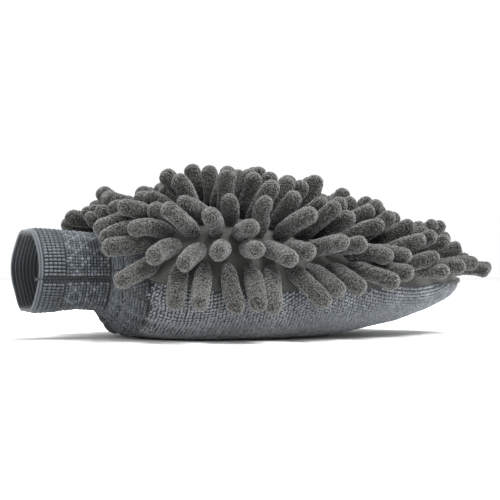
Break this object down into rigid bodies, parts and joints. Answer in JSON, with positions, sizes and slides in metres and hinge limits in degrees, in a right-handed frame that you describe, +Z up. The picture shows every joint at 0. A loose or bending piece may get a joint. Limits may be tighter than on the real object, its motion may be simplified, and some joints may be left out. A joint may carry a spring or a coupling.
{
  "type": "wash mitt",
  "caption": "Padded wash mitt with plump sewn chenille fingers on its back, a looped terry palm and an elastic knit cuff around the hand opening.",
  "frame": {"origin": "on the surface that the palm rests on, under the middle of the pouch", "axes": "+X towards the fingertip end, +Y towards the far side, +Z up out of the chenille back"},
  "size_m": [0.2519, 0.1749, 0.0908],
  "materials": {
    "elastic_webbing": "raised loop grid, matte",
    "elastic_thread": "covered rubber thread, matte",
    "seam_thread": "polyester thread, matte",
    "binding_tape": "woven tape, matte",
    "sewing_thread": "polyester thread, matte",
    "backing_twill": "fine twill, matte",
    "chenille": "fuzzy microfibre pile, matte",
    "sponge": "open-cell sponge, matte",
    "liner_cloth": "plain knit, matte",
    "overlock_seam": "overlocked cloth edge, matte",
    "terry_loops": "looped terry, matte"
  },
  "bodies": {
    "pouch": {"neck_binding": "binding_tape", "neck_stitching": "sewing_thread", "chenille_backing": "backing_twill", "chenille_row_01": "chenille", "chenille_row_02": "chenille", "chenille_row_03": "chenille", "chenille_row_04": "chenille", "chenille_row_05": "chenille", "chenille_row_06": "chenille", "chenille_row_07": "chenille", "chenille_row_08": "chenille", "chenille_row_09": "chenille", "chenille_row_10": "chenille", "chenille_row_11": "chenille", "chenille_row_12": "chenille", "chenille_row_13": "chenille", "chenille_row_14": "chenille", "chenille_row_15": "chenille", "chenille_row_16": "chenille", "chenille_row_17": "chenille", "row_stitching": "sewing_thread", "back_sponge": "sponge", "back_liner": "liner_cloth", "edge_seam": "overlock_seam", "terry_palm": "terry_loops", "palm_sponge": "sponge", "palm_liner": "liner_cloth"},
    "cuff": {"cuff_webbing": "elastic_webbing", "cuff_elastic_threads": "elastic_thread", "cuff_seam_thread": "seam_thread", "cuff_seam_allowance": "elastic_webbing"}
  },
  "joints": [
    {"name": "wrist_bend", "type": "hinge", "parent": "pouch", "child": "cuff", "pos_m": [-0.097, 0, 0.035], "axis": [0, 1, 0], "range_deg": [-15, 15], "stiffness_Nm_per_rad": 0.15}
  ]
}
